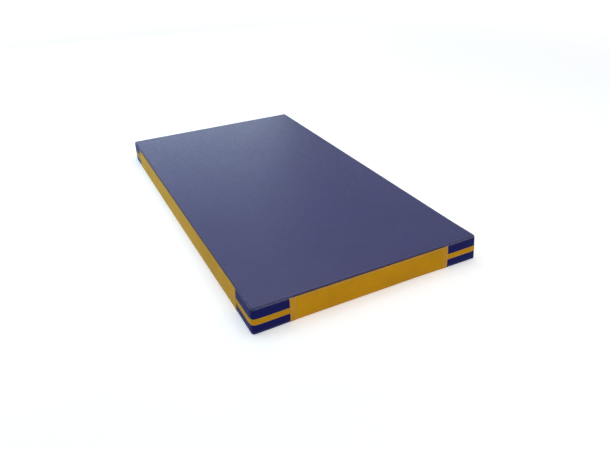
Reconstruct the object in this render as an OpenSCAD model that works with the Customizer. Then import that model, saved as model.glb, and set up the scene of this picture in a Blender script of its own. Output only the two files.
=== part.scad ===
// Crash landing mat: a layered foam block in a sewn vinyl cover with reinforced
// corners, a long zip on the right-hand wall and breather eyelets in the back wall.
// X runs across the mat, Y along it, Z up. The origin is the middle of the base.

/* [Mat] */
// Width across the short side
mat_w = 1100; // [800:10:1600]
// Length along the long side
mat_l = 2000; // [1400:10:3000]
// Thickness
mat_h = 120; // [90:5:250]
// Radius of the four upright corners
corner_r = 12; // [10:1:60]

/* [Foam] */
// Thickness of the firm landing layer
firm_top_h = 20; // [10:1:30]
// Thickness of the firm base layer
firm_base_h = 20; // [10:1:30]
// Clearance between the foam and the innermost cover wall
foam_gap = 1; // [0.5:0.1:3]

/* [Cover] */
// Thickness of the coated fabric
skin_t = 1; // [0.8:0.1:2]
// How far a corner piece runs on behind the end of a side panel
lap = 20; // [10:1:40]

/* [Corner pieces] */
// Visible length of a corner piece along each wall
patch_l = 160; // [80:5:300]
// Height of the contrasting band between the two tiers of a corner
stripe_h = 27; // [16:1:60]
// The stripe's middle lies this far below the wall's middle
stripe_drop = 3; // [0:0.5:10]

/* [Zip] */
// Width of the closed chain
chain_w = 10; // [8:0.5:12]
// Thickness of the chain
chain_t = 3; // [2:0.1:4]
// Slit between the two halves of the chain, where the slider's web runs
chain_slit = 1.4; // [1:0.1:2]
// Width of one tape, measured from the chain
tape_w = 18; // [14:1:24]
// Thickness of a tape
tape_t = 0.8; // [0.5:0.1:1]
// Height of the opening between the two strips of the zipped wall
zip_open_h = 24; // [20:1:30]
// Distance from the end of a wall strip to the end of the chain
zip_end = 60; // [50:1:120]
// Length of tape left past the end of the chain
tape_tail = 20; // [10:1:30]
// Length of an end stop
stop_l = 5; // [3:0.5:8]
// How far an end stop stands above the chain
stop_rise = 0.6; // [0.3:0.1:1]
// How far an end patch reaches above and below the opening
end_patch_lap = 14; // [8:1:20]
// Space between an end patch and its neighbours
end_patch_gap = 3; // [2:0.5:6]
// Flat along the outer corners of the chain
chamfer = 0.8; // [0.3:0.1:1]

/* [Slider] */
// Length of the slider
slider_l = 22; // [18:1:30]
// Thickness of each slider plate
plate_t = 1.6; // [1:0.1:2]
// Width of the lip along each edge of a plate
lip_w = 1.8; // [1.2:0.1:2.5]
// Clearance between the slider and the chain or tape
run_clear = 0.3; // [0.2:0.05:0.5]
// Clearance on each side of the web in the slit of the chain
web_clear = 0.2; // [0.1:0.05:0.4]
// Length of the web that joins the two plates
web_l = 9; // [6:1:14]
// Corner radius of the plates
plate_r = 4; // [2:0.5:5]
// Clearance that the slider leaves at an end stop when the zip is closed or open
stop_clear = 1; // [0.5:0.1:3]

/* [Pull tab] */
// Length of the tab from its pin
tab_l = 40; // [25:1:60]
// Width of the tab
tab_w = 10; // [8:0.5:14]
// Thickness of the tab
tab_t = 1.8; // [1.2:0.1:2.2]
// Radius of the tab's pin
pin_r = 1.2; // [1:0.05:1.4]
// Radial clearance of the pin in its knuckle
pin_clear = 0.08; // [0.02:0.01:0.1]
// Radius of the knuckle on the slider
knuckle_r = 2.5; // [2.2:0.1:3]
// Width of the knuckle on the slider
knuckle_w = 3.2; // [2.5:0.1:4]
// Height of the pin above the slider's front plate
pin_rise = 2; // [1.9:0.1:2.4]
// Radius of the grip hole
grip_r = 2.4; // [1.5:0.1:3]

/* [Breather eyelets] */
// Number of eyelets in the back wall
vent_n = 4; // [1:1:5]
// Distance between neighbouring eyelets
vent_pitch = 150; // [60:5:160]
// Radius of the air hole
vent_r = 5; // [3:0.5:8]
// Width of the flange around the hole
flange_w = 5; // [4:0.5:7]
// Wall thickness of the barrel
barrel_t = 0.5; // [0.4:0.1:0.8]
// Thickness of the washer behind the wall
washer_t = 0.5; // [0.4:0.1:0.7]
// Height of the flange above the wall
flange_t = 1.2; // [0.8:0.1:2]
// Thickness of the barrel's curl over the washer
curl_t = 0.4; // [0.3:0.1:0.6]
// Radial gap of the barrel in its hole
fit_gap = 0.1; // [0.05:0.05:0.3]

/* [Hidden] */

$fn = 64;
cut = 1;                     // how far a cutting shape runs past what it cuts
blue = [0.17, 0.20, 0.42];
yellow = [0.78, 0.58, 0.14];
base_blue = [0.13, 0.15, 0.28];
foam_white = [0.90, 0.90, 0.86];
foam_cream = [0.86, 0.80, 0.62];
foam_mixed = [0.45, 0.47, 0.52];
tape_blue = [0.10, 0.12, 0.24];
metal = [0.68, 0.69, 0.70];

// walls and tiers
wall_z0 = skin_t;
wall_z1 = mat_h - skin_t;
stripe_z0 = (mat_h - stripe_h) / 2 - stripe_drop;
stripe_z1 = (mat_h + stripe_h) / 2 - stripe_drop;
front_half = mat_w / 2 - patch_l;
side_half = mat_l / 2 - patch_l;

// foam block: clear of the corner pieces, which are the innermost wall
foam_in = 2 * skin_t + foam_gap;
core_z0 = wall_z0 + firm_base_h;
core_z1 = wall_z1 - firm_top_h;

// zip, in its own axes: u along +Y, v up from mid height, w outwards from the tape's back
zip_x = mat_w / 2 - skin_t - tape_t;
strip_h = (wall_z1 - wall_z0 - zip_open_h) / 2;
zip_half = side_half - zip_end;
chain_half_w = (chain_w - chain_slit) / 2;
chain_w0 = tape_t / 2 - chain_t / 2;
chain_w1 = tape_t / 2 + chain_t / 2;
end_patch_u0 = zip_half + end_patch_gap;
end_patch_u1 = side_half - end_patch_gap;

// slider and pull tab
slider_w = chain_w + 2 * (run_clear + lip_w);
front_w0 = chain_w1 + run_clear;
front_w1 = front_w0 + plate_t;
back_w1 = chain_w0 - run_clear;
back_w0 = back_w1 - plate_t;
web_t = chain_slit - 2 * web_clear;
slider_u = -zip_half + stop_l + stop_clear + slider_l / 2;
pin_w = front_w1 + pin_rise;
tab_eye_r = pin_rise - run_clear;
tab_window_w = knuckle_w + 2 * run_clear;
tab_window_l = knuckle_r + 2 * run_clear;

// shallow channel in the foam that leaves room for the slider's back plate
channel_x = zip_x + back_w0 - foam_gap;
channel_h = slider_w + 4 * foam_gap;
channel_half = zip_half + foam_gap;

// eyelets
vent_z = mat_h / 2;
hole_r = vent_r + barrel_t + fit_gap;
flange_r = vent_r + flange_w;

// rounded rectangle centred on the origin, built from exact arcs
module round_rect(w, l, r) {
    square([w - 2 * r, l], center = true);
    square([w, l - 2 * r], center = true);
    for (x = [-1, 1], y = [-1, 1])
        translate([x * (w / 2 - r), y * (l / 2 - r)]) circle(r);
}

// plan of the mat, drawn in by a distance all round
module plan(inset) {
    round_rect(mat_w - 2 * inset, mat_l - 2 * inset, corner_r - inset);
}

// one horizontal layer that fills the plan
module layer(inset, z0, z1) {
    translate([0, 0, z0]) linear_extrude(z1 - z0) plan(inset);
}

module foam_landing_layer() {
    color(foam_white) layer(foam_in, core_z1, wall_z1);
}

module foam_core() {
    color(foam_cream) difference() {
        layer(foam_in, core_z0, core_z1);
        translate([channel_x, -channel_half, (mat_h - channel_h) / 2])
            cube([mat_w, 2 * channel_half, channel_h]);
    }
}

module foam_base_layer() {
    color(foam_mixed) layer(foam_in, wall_z0, core_z0);
}

module cover_top() {
    color(blue) layer(0, wall_z1, mat_h);
}

module cover_base() {
    color(base_blue) layer(0, 0, wall_z0);
}

// front (side = -1) or back (side = 1) wall panel
module end_panel(side) {
    translate([-front_half, side * mat_l / 2 - (side > 0 ? skin_t : 0), wall_z0])
        cube([2 * front_half, skin_t, wall_z1 - wall_z0]);
}

// panel of the left (side = -1) or right (side = 1) wall between two heights
module long_panel(side, z0, z1) {
    translate([side * mat_w / 2 - (side > 0 ? skin_t : 0), -side_half, z0])
        cube([skin_t, 2 * side_half, z1 - z0]);
}

module side_front() {
    color(yellow) end_panel(-1);
}

// places children at every eyelet, pointing out of the back wall
module at_vents() {
    for (i = [0 : vent_n - 1])
        translate([(i - (vent_n - 1) / 2) * vent_pitch, mat_l / 2, vent_z])
            rotate([-90, 0, 0]) children();
}

module side_back() {
    color(yellow) difference() {
        end_panel(1);
        at_vents() cylinder(h = 2 * (skin_t + cut), r = hole_r, center = true);
    }
}

module side_left() {
    color(yellow) long_panel(-1, wall_z0, wall_z1);
}

module side_right_upper() {
    color(yellow) long_panel(1, wall_z1 - strip_h, wall_z1);
}

module side_right_lower() {
    color(yellow) long_panel(1, wall_z0, wall_z0 + strip_h);
}

// band that wraps the corner at (sx, sy) between two heights, one skin inside the plan
module corner_band(sx, sy, z0, z1) {
    reach = patch_l + lap;
    translate([0, 0, z0]) linear_extrude(z1 - z0) intersection() {
        difference() {
            plan(skin_t);
            plan(2 * skin_t);
        }
        translate([sx * mat_w / 2, sy * mat_l / 2]) square(2 * reach, center = true);
    }
}

module corner_upper(sx, sy) {
    color(blue) corner_band(sx, sy, stripe_z1, wall_z1);
}

module corner_stripe(sx, sy) {
    color(yellow) corner_band(sx, sy, stripe_z0, stripe_z1);
}

module corner_lower(sx, sy) {
    color(blue) corner_band(sx, sy, wall_z0, stripe_z0);
}

// moves children from the zip's own axes onto the right-hand wall
module on_zip() {
    translate([zip_x, 0, mat_h / 2]) rotate([90, 0, 90]) children();
}

// one tape, above (side = 1) or below (side = -1) the chain
module zip_tape(side) {
    v0 = side > 0 ? chain_w / 2 : -chain_w / 2 - tape_w;
    color(tape_blue) on_zip()
        translate([-zip_half - tape_tail, v0, 0])
            cube([2 * (zip_half + tape_tail), tape_w, tape_t]);
}

module zip_tape_upper() {
    zip_tape(1);
}

module zip_tape_lower() {
    zip_tape(-1);
}

// section of the upper half of the chain, as (v, w) points, with its outer corners taken off
module chain_section() {
    v0 = chain_slit / 2;
    v1 = chain_w / 2;
    polygon([
        [v0, chain_w0 + chamfer], [v0 + chamfer, chain_w0],
        [v1 - chamfer, chain_w0], [v1, chain_w0 + chamfer],
        [v1, chain_w1 - chamfer], [v1 - chamfer, chain_w1],
        [v0 + chamfer, chain_w1], [v0, chain_w1 - chamfer]
    ]);
}

// half of the chain between the end stops, above (side = 1) or below (side = -1) the slit
module zip_chain(side) {
    half_l = zip_half - stop_l;
    color(tape_blue) on_zip() mirror([0, side > 0 ? 0 : 1, 0])
        translate([half_l, 0, 0]) rotate([90, 0, -90])
            linear_extrude(2 * half_l) mirror([1, 0]) chain_section();
}

module zip_chain_upper() {
    zip_chain(1);
}

module zip_chain_lower() {
    zip_chain(-1);
}

// a clamp on each half of the chain at the closed end
module zip_top_stops() {
    color(metal) on_zip() for (side = [0, 1]) mirror([0, side, 0])
        translate([-zip_half, chain_slit / 2, chain_w0 - stop_rise])
            cube([stop_l, chain_half_w, chain_t + 2 * stop_rise]);
}

// a box that joins both halves of the chain at the open end
module zip_bottom_stop() {
    color(metal) on_zip()
        translate([zip_half - stop_l, -chain_w / 2, chain_w0 - stop_rise])
            cube([stop_l, chain_w, chain_t + 2 * stop_rise]);
}

// vinyl patch over the end of the tapes, at the front (side = -1) or back (side = 1)
module zip_end_patch(side) {
    patch_half_v = zip_open_h / 2 + end_patch_lap;
    patch_u0 = side > 0 ? end_patch_u0 : -end_patch_u1;
    color(yellow) on_zip()
        translate([patch_u0, -patch_half_v, tape_t + skin_t])
            cube([end_patch_u1 - end_patch_u0, 2 * patch_half_v, skin_t]);
}

module zip_end_patch_front() {
    zip_end_patch(-1);
}

module zip_end_patch_back() {
    zip_end_patch(1);
}

// one plate of the slider between two heights above the tape's back
module slider_plate(w0, w1) {
    translate([0, 0, w0]) linear_extrude(w1 - w0) round_rect(slider_l, slider_w, plate_r);
}

// lips along both edges of a plate, between two heights
module slider_lips(w0, w1) {
    lip_l = slider_l - 2 * plate_r;
    for (side = [0, 1]) mirror([0, side, 0])
        translate([-lip_l / 2, slider_w / 2 - lip_w, w0])
            cube([lip_l, lip_w, w1 - w0]);
}

module zip_slider() {
    color(metal) on_zip() translate([slider_u, 0, 0]) difference() {
        union() {
            slider_plate(front_w0, front_w1);
            slider_plate(back_w0, back_w1);
            slider_lips(tape_t + run_clear, front_w0);
            slider_lips(back_w1, -run_clear);
            translate([-slider_l / 2 + plate_t, -web_t / 2, back_w1])
                cube([web_l, web_t, front_w0 - back_w1]);
            translate([-knuckle_r, -knuckle_w / 2, front_w1 - plate_t / 2])
                cube([2 * knuckle_r, knuckle_w, pin_rise + plate_t / 2]);
            translate([0, 0, pin_w]) rotate([90, 0, 0])
                cylinder(h = knuckle_w, r = knuckle_r, center = true);
        }
        translate([0, 0, pin_w]) rotate([90, 0, 0])
            cylinder(h = knuckle_w + 2 * cut, r = pin_r + pin_clear, center = true);
    }
}

module zip_pull_tab() {
    color(metal) on_zip() translate([slider_u, 0, pin_w]) {
        difference() {
            union() {
                translate([tab_l / 2, 0, -tab_t / 2])
                    linear_extrude(tab_t) round_rect(tab_l, tab_w, tab_t);
                rotate([90, 0, 0]) cylinder(h = tab_w, r = tab_eye_r, center = true);
            }
            translate([-tab_eye_r - cut, -tab_window_w / 2, -tab_eye_r - cut])
                cube([tab_eye_r + cut + tab_window_l, tab_window_w, 2 * (tab_eye_r + cut)]);
            translate([tab_l - 2 * grip_r, 0, 0])
                cylinder(h = tab_t + 2 * cut, r = grip_r, center = true);
        }
        rotate([90, 0, 0]) cylinder(h = tab_window_w + tab_t, r = pin_r, center = true);
    }
}

// flanged barrel, curled over the washer behind the wall
module eyelet() {
    tail = -skin_t - washer_t - curl_t;
    rotate_extrude() polygon([
        [vent_r, tail], [vent_r + barrel_t, tail],
        [vent_r + 2 * barrel_t, tail], [vent_r + 2 * barrel_t, -skin_t - washer_t],
        [vent_r + barrel_t, -skin_t - washer_t], [vent_r + barrel_t, 0],
        [flange_r, 0], [flange_r - flange_t / 2, flange_t / 2],
        [vent_r + flange_w / 2, flange_t], [vent_r + barrel_t, flange_t],
        [vent_r, flange_t / 2]
    ]);
}

module vent_eyelets() {
    color(metal) at_vents() eyelet();
}

module vent_washers() {
    color(metal) at_vents() translate([0, 0, -skin_t - washer_t]) difference() {
        cylinder(h = washer_t, r = flange_r - flange_t);
        translate([0, 0, -cut]) cylinder(h = washer_t + 2 * cut, r = hole_r);
    }
}

foam_landing_layer();
foam_core();
foam_base_layer();
cover_top();
cover_base();
side_front();
side_back();
side_left();
side_right_upper();
side_right_lower();
corner_upper(-1, -1);  // corner_upper_front_left
corner_upper(1, -1);  // corner_upper_front_right
corner_upper(-1, 1);  // corner_upper_back_left
corner_upper(1, 1);  // corner_upper_back_right
corner_stripe(-1, -1);  // corner_stripe_front_left
corner_stripe(1, -1);  // corner_stripe_front_right
corner_stripe(-1, 1);  // corner_stripe_back_left
corner_stripe(1, 1);  // corner_stripe_back_right
corner_lower(-1, -1);  // corner_lower_front_left
corner_lower(1, -1);  // corner_lower_front_right
corner_lower(-1, 1);  // corner_lower_back_left
corner_lower(1, 1);  // corner_lower_back_right
zip_tape_upper();
zip_tape_lower();
zip_chain_upper();
zip_chain_lower();
zip_top_stops();
zip_bottom_stop();
zip_end_patch_front();
zip_end_patch_back();
zip_slider();
zip_pull_tab();
vent_eyelets();
vent_washers();
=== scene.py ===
"""Crash landing mat: foam layers in a sewn two-colour vinyl cover, with a zip and four breathers."""

import math

import bpy
import numpy as np
from bpy.props import FloatProperty, FloatVectorProperty, PointerProperty
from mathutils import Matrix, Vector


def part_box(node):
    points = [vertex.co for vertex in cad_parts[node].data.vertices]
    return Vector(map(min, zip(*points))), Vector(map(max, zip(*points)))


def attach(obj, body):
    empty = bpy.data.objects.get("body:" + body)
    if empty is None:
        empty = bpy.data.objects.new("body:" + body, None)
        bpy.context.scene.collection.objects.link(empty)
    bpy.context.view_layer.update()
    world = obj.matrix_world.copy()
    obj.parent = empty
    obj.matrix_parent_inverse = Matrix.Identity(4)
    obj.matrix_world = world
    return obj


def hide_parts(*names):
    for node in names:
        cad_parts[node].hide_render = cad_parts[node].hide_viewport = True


bl_info = {
    "name": "Crash Landing Mat",
    "version": (1, 0, 0),
    "blender": (4, 5, 0),
    "location": "3D View > Sidebar > Landing Mat",
    "description": "Builds a crash landing mat: sewn vinyl cover, foam layers, zip and breathers",
    "category": "Add Mesh",
}

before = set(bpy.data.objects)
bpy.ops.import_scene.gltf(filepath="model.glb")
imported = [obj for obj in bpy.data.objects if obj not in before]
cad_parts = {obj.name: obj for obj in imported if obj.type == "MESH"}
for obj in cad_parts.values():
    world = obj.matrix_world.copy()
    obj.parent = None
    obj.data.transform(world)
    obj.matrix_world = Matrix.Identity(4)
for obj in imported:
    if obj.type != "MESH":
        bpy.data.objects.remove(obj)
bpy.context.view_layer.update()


def span(node):
    """Lowest and highest corner of a CAD node, as arrays."""
    low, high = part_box(node)
    return np.array(low), np.array(high)


# ---------------------------------------------------------------- sizes of the CAD part, metres
HALF_X, HALF_Y, HEIGHT = span("cover_top")[1]
MIDDLE = HEIGHT / 2
CORNER_R = 0.012                                 # radius of the plan's four corners
PATCH = HALF_X - span("side_front")[1][0]        # how far a corner piece shows along each wall
STRIPE_LOW = span("corner_stripe_front_left")[0][2]
STRIPE_HIGH = span("corner_stripe_front_left")[1][2]
BAND_HALF_X = HALF_X - span("corner_upper_front_right")[0][0] - CORNER_R
ZIP_OPEN_LOW = span("side_right_lower")[1][2]
ZIP_OPEN_HIGH = span("side_right_upper")[0][2]
CHANNEL_HALF = 0.79                              # half length of the foam's channel behind the zip
CHANNEL_RISE = 0.01                              # half height of that channel
CHANNEL_DEPTH = 0.0035                           # how far it goes into the foam
CHANNEL_LIP = 0.0005                             # half width of the step at its edges, up and down
CHANNEL_END = 0.001                              # half width of the step at its two ends
EYELETS_X = 0.15 * (np.arange(4) - 1.5)          # four eyelets, 150 mm apart
EYELET_HOLE = 0.006                              # half width of the opening in the wall at each

# Outline of the plan by arc length, from the middle of the front, anticlockwise from above.
RUN_X = HALF_X - CORNER_R
RUN_Y = HALF_Y - CORNER_R
QUARTER = math.pi / 2 * CORNER_R
KNOTS = np.cumsum([0, RUN_X, QUARTER, 2 * RUN_Y, QUARTER, 2 * RUN_X, QUARTER, 2 * RUN_Y, QUARTER, RUN_X])
KNOT_TURN = np.radians([-90, -90, 0, 0, 90, 90, 180, 180, 270, 270])
KNOT_X = RUN_X * np.array([0, 1, 1, 1, 1, -1, -1, -1, -1, 0])
KNOT_Y = RUN_Y * np.array([-1, -1, -1, 1, 1, 1, 1, -1, -1, -1])
GIRTH = KNOTS[-1]
FRONT_MID = 0.0
RIGHT_MID = KNOTS[2] + RUN_Y
BACK_MID = KNOTS[4] + RUN_X
LEFT_MID = KNOTS[6] + RUN_Y
CORNER_MIDS = {
    "front_right": KNOTS[1] + QUARTER / 2,
    "back_right": KNOTS[3] + QUARTER / 2,
    "back_left": KNOTS[5] + QUARTER / 2,
    "front_left": KNOTS[7] + QUARTER / 2,
}

# ---------------------------------------------------------------- how the cover is sewn, metres
TOP_INSET = 0.0032         # the top sheet's turned edge lies this far inside the walls' face
TOP_ROLL = 0.0038          # radius of the top sheet's turned edge
TOP_SWEEP = 128.0          # degrees that the top sheet's edge turns through
WALL_TOP = HEIGHT - 0.0072  # where the walls' shoulder comes to
WALL_FOOT = 0.0003         # where the walls' lower edge comes to
SEAM_ROLL = 0.0034         # radius of a wall's shoulder, where it turns into the upper seam
FOOT_ROLL = 0.0016         # radius of a wall's edge where it turns under the mat
SPREAD = 0.0022            # how far the weight spreads the walls at the foot
LEAN = (0.005, 0.004)      # how far the front right corner has crept out, and how much more at its foot
SAG = 0.006                # how far that corner's foot has crept forward
TOE = (0.003, 0.005)       # how far the front left corner's foot has crept, in width and in length
FOLD_R = 0.0009            # radius of a folded edge
FOLD_DROP = 0.0022         # how far a folded edge goes in, to what it lies on
BAND_INSET = 0.001         # corner pieces lie this far inside the walls' outer face
STRIPE_PROUD = 0.0009      # corner stripes stand this far off the corner pieces
HEM_W = 0.024              # width of the walls' end hems
HEM_RISE = 0.0009          # how much a hem stands off the wall
ZIP_HEM_RISE = 0.0004      # the same on the two strips beside the zip
ROW_GAP = 0.006            # between the two rows of stitching on a hem
ROW_INSET = 0.016          # from a panel's end to the nearer row
GROOVE = 0.0006            # depth that stitching pulls the vinyl in
GROOVE_W = 0.0016          # half width of that groove
STRIPE_ROW = 0.0035        # from a stripe's folded edge to its row of stitching
STRIPE_LAP = 0.004         # how far the corner tiers go on behind a stripe
TIER_RISE = 0.002          # how far an upper tier goes above the walls' shoulder, into the seam
PATCH_R = 0.005            # radius of an end patch's corners, and from its edge to its stitching
PATCH_PROUD = 0.0005       # how far an end patch stands off its CAD face
WEB = 0.0008               # thickness of the zip's tapes and end patches

FIELDS = {}                # the settled cover: rise of the top, and bulge of each wall


def ease(t):
    """Smooth step: 3 t squared less 2 t cubed, of t held from 0 to 1."""
    t = np.clip(t, 0.0, 1.0)
    return t * t * (3 - 2 * t)


def around(s, out):
    """Plan point at arc length s: the nearest corner centre plus (corner radius + out) along the normal."""
    s = np.mod(s, GIRTH)
    turn = np.interp(s, KNOTS, KNOT_TURN)
    reach = CORNER_R + out
    x = np.interp(s, KNOTS, KNOT_X) + reach * np.cos(turn)
    y = np.interp(s, KNOTS, KNOT_Y) + reach * np.sin(turn)
    return x, y, turn


def along(x, y):
    """Arc length of the wall nearest to a plan point."""
    near_y = HALF_Y - np.abs(y) < HALF_X - np.abs(x)
    front_back = np.where(y < 0, x, BACK_MID - x)
    right_left = np.where(x > 0, RIGHT_MID + y, LEFT_MID - y)
    return np.where(near_y, front_back, right_left)


def sample(field, u, v):
    """Value of a field between its grid points, u and v from 0 to 1, weighted by nearness."""
    u = np.clip(u, 0, 1) * (field.shape[0] - 1)
    v = np.clip(v, 0, 1) * (field.shape[1] - 1)
    i = np.minimum(u.astype(int), field.shape[0] - 2)
    j = np.minimum(v.astype(int), field.shape[1] - 2)
    p = u - i
    q = v - j
    lower = field[i, j] * (1 - p) + field[i + 1, j] * p
    upper = field[i, j + 1] * (1 - p) + field[i + 1, j + 1] * p
    return lower * (1 - q) + upper * q


def pucker(s):
    """Gathering of the seams along s: a wave of about 44 mm whose pitch and height drift."""
    phase = 2 * np.pi * s / GIRTH
    wave = np.sin(141 * phase + 1.7 * np.sin(19 * phase))
    return wave * (0.6 + 0.4 * np.sin(35 * phase + 1.0))


def crown(x, y):
    """Rise of the top sheet: the settled dome plus gathers that are gone 45 mm from the seam."""
    size = bpy.context.scene.landing_mat_cover
    rise = size.crown * sample(FIELDS["top"], (x + HALF_X) / (2 * HALF_X), (y + HALF_Y) / (2 * HALF_Y))
    gap_x = HALF_X - np.abs(x)
    gap_y = HALF_Y - np.abs(y)
    edge = np.minimum(gap_x, gap_y)
    clear = ease((np.maximum(gap_x, gap_y) - 0.02) / 0.03)
    gathers = size.gathers * pucker(along(x, y)) * clear * ease(edge / 0.008) * ease((0.045 - edge) / 0.035)
    return rise + gathers


def bulge(s, z):
    """How far the walls stand out: each wall's settled field, joined round the corners, none at the zip."""
    size = bpy.context.scene.landing_mat_cover
    x, y, turn = around(s, 0.0)
    tall = z / HEIGHT
    run_x = (x + HALF_X) / (2 * HALF_X)
    run_y = (y + HALF_Y) / (2 * HALF_Y)
    side_x = np.where(x > 0, sample(FIELDS["right"], run_y, tall), sample(FIELDS["left"], run_y, tall))
    side_y = np.where(y > 0, sample(FIELDS["back"], run_x, tall), sample(FIELDS["front"], run_x, tall))
    share = side_x * np.cos(turn) ** 2 + side_y * np.sin(turn) ** 2
    s_wrapped = np.mod(s, GIRTH)
    past_zip = ease((np.abs(s_wrapped - RIGHT_MID) - 0.845) / 0.05)
    above_zip = ease((np.abs(z - MIDDLE) - 0.012) / 0.022)
    held = np.maximum(past_zip, above_zip)
    for eyelet_x in EYELETS_X:
        reach = np.hypot(s_wrapped - (BACK_MID - eyelet_x), z - MIDDLE)
        held = held * ease((reach - 0.0115) / 0.022)
    return size.bulge * share * held


def wall(s, z, out):
    """Point of the wall at arc length s and height z, out from its face: outline, bulge and seam gathers."""
    size = bpy.context.scene.landing_mat_cover
    s, z, out = np.broadcast_arrays(s, z, out)
    upper = np.exp(-(((WALL_TOP - z) / 0.013) ** 2))
    lower = np.exp(-((z / 0.011) ** 2))
    gathers = size.gathers * pucker(s) * (upper + 0.7 * lower)
    x, y, _ = around(s, out + bulge(s, z) + gathers)
    return np.stack([x, y, z], -1)


def bowed(points):
    """The whole cover's slight bow in plan: walls stand out, the foot spreads, two corners creep."""
    size = bpy.context.scene.landing_mat_cover
    x, y, z = points.T
    left = ease(-x / HALF_X) * (1 - (y / HALF_Y) ** 2)
    front = ease(-y / HALF_Y) * (1 - (x / HALF_X) ** 2)
    low = SPREAD * np.clip(1 - z / 0.09, 0, 1) ** 1.5
    free_x = np.where(x > 0, ease((np.abs(y) - 0.86) / 0.08), 1.0)
    free_y = np.where(y > 0, ease((np.abs(x) - 0.3) / 0.1), 1.0)
    wide_x = low * free_x * np.sign(x) * ease((np.abs(x) / HALF_X - 0.8) / 0.18)
    wide_y = low * free_y * np.sign(y) * ease((np.abs(y) / HALF_Y - 0.9) / 0.09)
    tip = 1 - np.clip(z / HEIGHT, 0, 1)
    right_end = ease((-y / HALF_Y - 0.82) / 0.18)
    crept = LEAN[0] * np.sin(np.pi * np.clip(0.25 + 0.5 * tip, 0, 1)) + LEAN[1] * tip
    crept = crept * ease((x / HALF_X - 0.5) / 0.5) * right_end
    sagged = SAG * tip * ease((x / HALF_X - 0.35) / 0.6) * right_end
    toe = tip * ease((-x / HALF_X - 0.55) / 0.4) * ease((-y / HALF_Y - 0.75) / 0.22)
    moved_x = x - size.bow * left + wide_x + crept - TOE[0] * toe
    moved_y = y - 0.6 * size.bow * front + wide_y - TOE[1] * toe - sagged
    return np.stack([moved_x, moved_y, z], -1)


# ---------------------------------------------------------------- grids and meshes
def grid_quads(rows, columns, closed=False):
    """Corner numbers of a grid's quads; closed joins the last row to the first."""
    i = np.arange(rows if closed else rows - 1)[:, None]
    j = np.arange(columns - 1)[None, :]
    a = i * columns + j
    b = ((i + 1) % rows) * columns + j
    return np.stack([a, b, b + 1, a + 1], -1).reshape(-1, 4)


def skirt_quads(edge, start, count, last=None):
    """Corner numbers of the quads from a plate's edge down its loops, numbered from start, to the last."""
    loops = np.concatenate([edge, start + np.arange(count * len(edge)), [] if last is None else last])
    loops = loops.astype(int).reshape(-1, len(edge))
    here, below = loops[:-1], loops[1:]
    return np.stack([below, np.roll(below, -1, 1), np.roll(here, -1, 1), here], -1).reshape(-1, 4)


def tube_quads(rings, sides):
    """Corner numbers of the quads between a tube's rings, ring by ring."""
    here = sides * np.arange(rings - 1)[:, None]
    k = np.arange(sides)
    beyond = (k + 1) % sides
    return np.stack([here + k, here + beyond, here + sides + beyond, here + sides + k], -1).reshape(-1, 4)


def run(start, end, pitch, first, last, stops=()):
    """Places along a run and their dips: straight at the pitch, each end an arc (radius, degrees, drop)."""
    places, dips = [], []
    r0, sweep0, drop0 = first
    r1, sweep1, drop1 = last
    turn0 = np.radians(np.linspace(sweep0, 0, 6))[:-1]
    turn1 = np.radians(np.linspace(0, sweep1, 6))[1:]
    if drop0:
        places.append([start])
        dips.append([-drop0])
    places.append(start + r0 - r0 * np.sin(turn0))
    dips.append(-r0 + r0 * np.cos(turn0))
    count = max(2, int(round((end - r1 - start - r0) / pitch)) + 1)
    middle = np.linspace(start + r0, end - r1, count)
    extra = np.array([x for x in stops if start + r0 < x < end - r1])
    if len(extra):
        middle = middle[np.min(np.abs(middle[:, None] - extra[None, :]), axis=1) > 0.0003]
        middle = np.unique(np.concatenate([middle, extra, [start + r0, end - r1]]))
    places.append(middle)
    dips.append(np.zeros(len(middle)))
    places.append(end - r1 + r1 * np.sin(turn1))
    dips.append(-r1 + r1 * np.cos(turn1))
    if drop1:
        places.append([end])
        dips.append([-drop1])
    return np.concatenate(places), np.concatenate(dips)


def near_rows(rows):
    """Stops either side of each row of stitching, so that its groove has points."""
    return [r + k * GROOVE_W / 2 for r in rows for k in (-2, -1, 0, 1, 2)]


def groove(places, rows):
    """Depth along a line of stitching: a raised cosine across each row."""
    depth = np.zeros_like(places)
    for r in rows:
        depth += GROOVE * 0.5 * (1 + np.cos(np.pi * np.clip((places - r) / GROOVE_W, -1, 1)))
    return depth


def add_mesh(name, points, quads, finish, uv=None, wear_and_highlight=None, replaces=()):
    """One new piece on the mat's body, its place in its mesh."""
    points = bowed(np.asarray(points, float).reshape(-1, 3))
    quads = np.asarray(quads, np.int32)
    mesh = bpy.data.meshes.new(name)
    mesh.vertices.add(len(points))
    mesh.vertices.foreach_set("co", points.astype(np.float32).ravel())
    mesh.loops.add(quads.size)
    mesh.loops.foreach_set("vertex_index", quads.ravel())
    mesh.polygons.add(len(quads))
    mesh.polygons.foreach_set("loop_start", np.arange(0, quads.size, 4, dtype=np.int32))
    mesh.update(calc_edges=True)
    mesh.polygons.foreach_set("use_smooth", np.ones(len(quads), bool))
    if uv is not None:
        layer = mesh.uv_layers.new(name="panel")
        layer.data.foreach_set("uv", np.asarray(uv, np.float32).reshape(-1, 2)[quads.ravel()].ravel())
    # these marks are partly scuffing and partly painted highlight along shoulders and edges
    wear_and_highlight_values = np.zeros(len(points)) if wear_and_highlight is None else np.asarray(wear_and_highlight, float).ravel()
    layer = mesh.attributes.new("wear_and_highlight", "FLOAT", "POINT")
    layer.data.foreach_set("value", wear_and_highlight_values.astype(np.float32))
    mesh.materials.append(finish)
    piece = bpy.data.objects.new(name, mesh)
    bpy.context.scene.collection.objects.link(piece)
    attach(piece, "mat")
    if replaces:
        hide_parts(*replaces)
    return piece


def thicken(piece, thickness):
    """Gives a sheet its thickness, inward from its outer face."""
    solid = piece.modifiers.new("thickness", "SOLIDIFY")
    solid.thickness = thickness
    solid.offset = -1.0
    solid.use_rim = True
    return piece


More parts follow.
